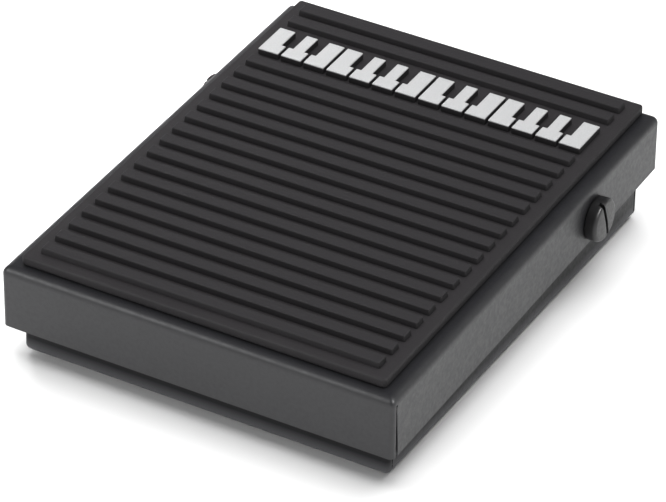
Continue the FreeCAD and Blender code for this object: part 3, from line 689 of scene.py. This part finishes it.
def noise(nodes, links, scale, detail=2.0, stretch=(1, 1, 1)):
    """A noise texture in metres; scale is in features per metre. Gives back its value socket."""
    coordinates = nodes.new("ShaderNodeTexCoord")
    mapping = nodes.new("ShaderNodeMapping")
    mapping.inputs["Scale"].default_value = stretch
    texture = nodes.new("ShaderNodeTexNoise")
    texture.inputs["Scale"].default_value = scale
    texture.inputs["Detail"].default_value = detail
    links.new(coordinates.outputs["Object"], mapping.inputs["Vector"])
    links.new(mapping.outputs["Vector"], texture.inputs["Vector"])
    return texture.outputs["Fac"]


def spread(nodes, links, value, low, high, out_low, out_high):
    """Map a value from one span to another."""
    node = nodes.new("ShaderNodeMapRange")
    node.inputs["From Min"].default_value = low
    node.inputs["From Max"].default_value = high
    node.inputs["To Min"].default_value = out_low
    node.inputs["To Max"].default_value = out_high
    links.new(value, node.inputs["Value"])
    return node.outputs["Result"]


def blend_colors(nodes, links, factor, first, second):
    """Mix two colours; the first may also be another node's colour socket."""
    node = nodes.new("ShaderNodeMix")
    node.data_type = "RGBA"
    ends = {s.name: s for s in node.inputs if s.type == "RGBA"}
    if isinstance(first, bpy.types.NodeSocket):
        links.new(first, ends["A"])
    else:
        ends["A"].default_value = (*first, 1)
    ends["B"].default_value = (*second, 1)
    links.new(factor, node.inputs["Factor"])
    return next(s for s in node.outputs if s.type == "RGBA")


def height_along(nodes, links, placement):
    """Height of the shaded point along a placement's own Z axis, from its origin, in metres."""
    axis = placement.to_3x3() @ Vector((0, 0, 1))
    origin = placement.translation
    coordinates = nodes.new("ShaderNodeTexCoord")
    dot = nodes.new("ShaderNodeVectorMath")
    dot.operation = "DOT_PRODUCT"
    dot.inputs[1].default_value = axis
    links.new(coordinates.outputs["Object"], dot.inputs[0])
    shift = nodes.new("ShaderNodeMath")
    shift.operation = "SUBTRACT"
    shift.inputs[1].default_value = axis.dot(origin)
    links.new(dot.outputs["Value"], shift.inputs[0])
    return shift.outputs["Value"]


def vary_roughness(nodes, links, shader, pattern, low, high):
    """Let the roughness follow a noise pattern between two values."""
    links.new(spread(nodes, links, pattern, NOISE_LOW, NOISE_HIGH, low, high), shader.inputs["Roughness"])


def add_bump(nodes, links, shader, height, distance, strength):
    bump = nodes.new("ShaderNodeBump")
    bump.inputs["Distance"].default_value = distance
    bump.inputs["Strength"].default_value = strength
    links.new(height, bump.inputs["Height"])
    links.new(bump.outputs["Normal"], shader.inputs["Normal"])


def powder_coat(name, color, roughness, painted_light_foot=None, gloss=0.5):
    """Satin black powder coat: fine orange peel and faint mottling; if given, a lighter colour close to the floor,
    as painted light on the foot of a wall whose upper part lies in shade.
    """
    material, nodes, links, shader = new_material(name, color, roughness)
    shader.inputs["Specular IOR Level"].default_value = gloss
    mottle = noise(nodes, links, 260, 3)
    light = [c * 1.25 for c in color]
    dark = [c * 0.85 for c in color]
    tone = blend_colors(nodes, links, mottle, dark, light)
    # A lighter colour low down is painted light: the wall's foot is painted lighter than its upper part, which
    # stays in the flange's shade.
    if painted_light_foot:
        height = height_along(nodes, links, Matrix())
        share = spread(nodes, links, height, PAINTED_LIGHT_FULL, PAINTED_LIGHT_END, 1, 0)
        tone = blend_colors(nodes, links, share, tone, painted_light_foot)
    links.new(tone, shader.inputs["Base Color"])
    satin = noise(nodes, links, 1400, 2)
    vary_roughness(nodes, links, shader, satin, roughness - 0.05, roughness + 0.06)
    peel = noise(nodes, links, 4200, 2)
    add_bump(nodes, links, shader, peel, 0.02 * MM, 0.3)
    return material


def moulded_rubber(name, color, roughness, painted_top_shade=None):
    """Matt rubber with a fine grain; a darker colour, if given, covers the tops of the mat's ribs as painted shade
    that tones down the light falling on them.
    """
    material, nodes, links, shader = new_material(name, color, roughness)
    shader.inputs["Specular IOR Level"].default_value = 0.22
    patches = noise(nodes, links, 120, 4)
    light = [c * 1.15 for c in color]
    dark = [c * 0.85 for c in color]
    tone = blend_colors(nodes, links, patches, dark, light)
    # The ribs' tops are painted a little darker than the rest of the rubber: painted shade that tones down the
    # extra light they catch.
    if painted_top_shade:
        height = height_along(nodes, links, PLATE_PLACE)
        top = MAT_THICK + RIB_HEIGHT
        share = spread(nodes, links, height, top - TOP_SHADE_DEPTH, top, 0, 1)
        tone = blend_colors(nodes, links, share, tone, painted_top_shade)
    links.new(tone, shader.inputs["Base Color"])
    grain = noise(nodes, links, 3800, 3)
    vary_roughness(nodes, links, shader, grain, roughness - 0.06, roughness + 0.06)
    add_bump(nodes, links, shader, grain, 0.03 * MM, 0.5)
    return material


def silver_foil():
    """Hot-stamped foil: bright, slightly grainy."""
    dark = (0.34, 0.343, 0.347)
    light = (0.53, 0.533, 0.537)
    material, nodes, links, shader = new_material("silver_foil", (0.43, 0.43, 0.44), 0.5, metallic=0.3)
    grain = noise(nodes, links, 5200, 3)
    links.new(blend_colors(nodes, links, grain, dark, light), shader.inputs["Base Color"])
    vary_roughness(nodes, links, shader, grain, 0.42, 0.6)
    add_bump(nodes, links, shader, grain, 0.02 * MM, 0.4)
    return material


def bright_metal(name, color, roughness, stretch=(1, 1, 1)):
    """Plated or drawn steel, or brass, with fine marks."""
    material, nodes, links, shader = new_material(name, color, roughness, metallic=1.0)
    marks = noise(nodes, links, 1800, 4, stretch)
    dark = [c * 0.8 for c in color]
    links.new(blend_colors(nodes, links, marks, dark, color), shader.inputs["Base Color"])
    vary_roughness(nodes, links, shader, marks, roughness - 0.08, roughness + 0.1)
    add_bump(nodes, links, shader, marks, 0.01 * MM, 0.5)
    return material


def moulded_plastic(name, color, roughness):
    """Nylon, board laminate or switch plastic, with faint clouds and a fine grain."""
    material, nodes, links, shader = new_material(name, color, roughness)
    clouds = noise(nodes, links, 500, 3)
    light = [min(1, c * 1.12) for c in color]
    dark = [c * 0.88 for c in color]
    links.new(blend_colors(nodes, links, clouds, dark, light), shader.inputs["Base Color"])
    grain = noise(nodes, links, 4200, 2)
    vary_roughness(nodes, links, shader, grain, roughness - 0.06, roughness + 0.06)
    add_bump(nodes, links, shader, grain, 0.015 * MM, 0.4)
    return material


def paint_inner_nodes(materials):
    """The CAD nodes that stay get the material of their record slot."""
    slots = {part["node"]: part["material_slot"] for part in frame["record"]["subparts"]}
    for name, node in frame["nodes"].items():
        if node.hide_render:
            continue
        node.data.materials.clear()
        node.data.materials.append(materials[slots[name]])


# ---- studio -------------------------------------------------------------------------------------
def floor():
    """A wide, plain pale floor just under the pedal's foot."""
    half_size = 3.0
    bm = bmesh.new()
    bmesh.ops.create_grid(bm, x_segments=8, y_segments=8, size=half_size)
    plane = object_from_bmesh("studio_floor", bm)
    if plane.data.polygons[0].normal.z < 0:
        plane.data.flip_normals()
    plane.location.z = -0.02 * MM
    material, _, _, shader = new_material("studio_floor", (0.86, 0.86, 0.86), 0.9)
    shader.inputs["Specular IOR Level"].default_value = 0.1
    plane.data.materials.append(material)


def direction(azimuth, elevation):
    """Unit vector towards a place in the studio; azimuth 0 is the object's front, 90 its right."""
    a = math.radians(azimuth)
    e = math.radians(elevation)
    return Vector((math.sin(a) * math.cos(e), -math.cos(a) * math.cos(e), math.sin(e)))


def studio_dome(ceiling, rear, front):
    """World light: a dim ceiling, brighter towards the walls behind than towards the front."""
    world = bpy.data.worlds.new("studio")
    bpy.context.scene.world = world
    world.use_nodes = True
    nodes = world.node_tree.nodes
    links = world.node_tree.links
    background = nodes["Background"]
    background.inputs["Color"].default_value = (1, 1, 1, 1)
    coordinates = nodes.new("ShaderNodeTexCoord")
    split = nodes.new("ShaderNodeSeparateXYZ")
    links.new(coordinates.outputs["Generated"], split.inputs["Vector"])
    walls = spread(nodes, links, split.outputs["Y"], -0.6, 0.6, front, rear)
    band = nodes.new("ShaderNodeMapRange")
    band.interpolation_type = "SMOOTHSTEP"
    band.inputs["From Min"].default_value = math.sin(math.radians(2))
    band.inputs["From Max"].default_value = math.sin(math.radians(22))
    band.inputs["To Max"].default_value = ceiling
    links.new(walls, band.inputs["To Min"])
    links.new(split.outputs["Z"], band.inputs["Value"])
    links.new(band.outputs["Result"], background.inputs["Strength"])


def softbox(name, azimuth, elevation, distance, size, power, matt=True, glossy=True):
    """A rectangular area light that faces the object; matt or glossy light alone may be chosen."""
    light = bpy.data.lights.new(name, "AREA")
    light.shape = "RECTANGLE"
    light.size = size[0]
    light.size_y = size[1]
    light.energy = power
    lamp = new_object(name, light)
    place_at = direction(azimuth, elevation) * distance
    lamp.visible_camera = False
    lamp.visible_diffuse = matt
    lamp.visible_glossy = glossy
    turn = place_at.to_track_quat("Z", "Y").to_matrix().to_4x4()
    lamp.matrix_world = Matrix.Translation(place_at) @ turn


def camera():
    """The photograph's viewpoint: long lens, from the front right, looking down."""
    azimuth = 28.72
    elevation = 33.93
    roll = math.radians(1.33)
    distance = 780.8 * MM
    focal_length = 244.73
    back = direction(azimuth, elevation)
    level_right = Vector((0, 0, 1)).cross(back).normalized()
    level_up = back.cross(level_right)
    right = level_right * math.cos(roll) + level_up * math.sin(roll)
    up = level_up * math.cos(roll) - level_right * math.sin(roll)
    shift_right = -0.882 * MM
    shift_up = -4.349 * MM
    target = Vector((0, 0, 12 * MM)) + right * shift_right + up * shift_up
    data = bpy.data.cameras.new("camera")
    data.lens = focal_length
    data.sensor_width = 36
    data.clip_start = 0.01
    data.clip_end = 20
    eye = new_object("camera", data)
    turn = Matrix((right, up, back)).transposed().to_4x4()
    eye.matrix_world = Matrix.Translation(target + back * distance) @ turn
    bpy.context.scene.camera = eye


# ---- build --------------------------------------------------------------------------------------
materials = {
    "black_paint": powder_coat("black_paint", (0.009, 0.0091, 0.0107), 0.47, gloss=0.55),
    # The tray's paint is painted lighter near the floor: painted light on the foot of its walls.
    "tray_paint": powder_coat(
        "tray_paint", (0.008, 0.008, 0.009), 0.4, painted_light_foot=(0.1, 0.1, 0.106), gloss=0.14
    ),
    "screw_paint": powder_coat("screw_paint", (0.005, 0.0048, 0.0053), 0.44, gloss=0.5),
    # The mat's rubber has the ribs' tops painted darker: painted shade.
    "tread_rubber": moulded_rubber(
        "tread_rubber", (0.0185, 0.0172, 0.0185), 0.6, painted_top_shade=(0.0172, 0.0162, 0.0175)
    ),
    "pad_rubber": moulded_rubber("pad_rubber", (0.022, 0.022, 0.022), 0.8),
    "silver_foil": silver_foil(),
    "plated_steel": bright_metal("plated_steel", (0.6, 0.6, 0.62), 0.35),
    "spring_steel": bright_metal("spring_steel", (0.5, 0.5, 0.52), 0.3),
    "nylon": moulded_plastic("nylon", (0.8, 0.78, 0.72), 0.5),
    "board_laminate": moulded_plastic("board_laminate", (0.04, 0.2, 0.09), 0.4),
    "switch_plastic": moulded_plastic("switch_plastic", (0.025, 0.025, 0.027), 0.45),
    "contact_brass": bright_metal("contact_brass", (0.72, 0.55, 0.25), 0.35),
}

pedal_plate(materials["black_paint"])
tread_mat(materials["tread_rubber"])
key_motif(materials["tread_rubber"], materials["silver_foil"])
base_tray(materials["tray_paint"])
base_pad(materials["pad_rubber"])
for side in (-1, 1):
    pivot_screw(side, materials["screw_paint"])
return_spring(materials["spring_steel"])
paint_inner_nodes(materials)

floor()
studio_dome(0.19, 0.42, 0.12)
softbox("key_softbox", 180, 82, 1.0, (1.25, 1.25), 22.3, glossy=False)
softbox("edge_softbox", -29, 33, 0.4, (0.14, 0.17), 0.64, matt=False)
softbox("front_softbox", -10, 20, 0.6, (0.5, 0.3), 1.35, glossy=False)
softbox("side_softbox", 85, 40, 0.4, (0.1, 0.1), 1.6, matt=False)
softbox("rim_softbox", -140, 8, 0.5, (0.2, 0.06), 0.1, matt=False)
softbox("left_softbox", -110, 20, 0.13, (0.03, 0.08), 0.12, glossy=False)
bpy.context.scene.view_settings.view_transform = "Standard"
camera()
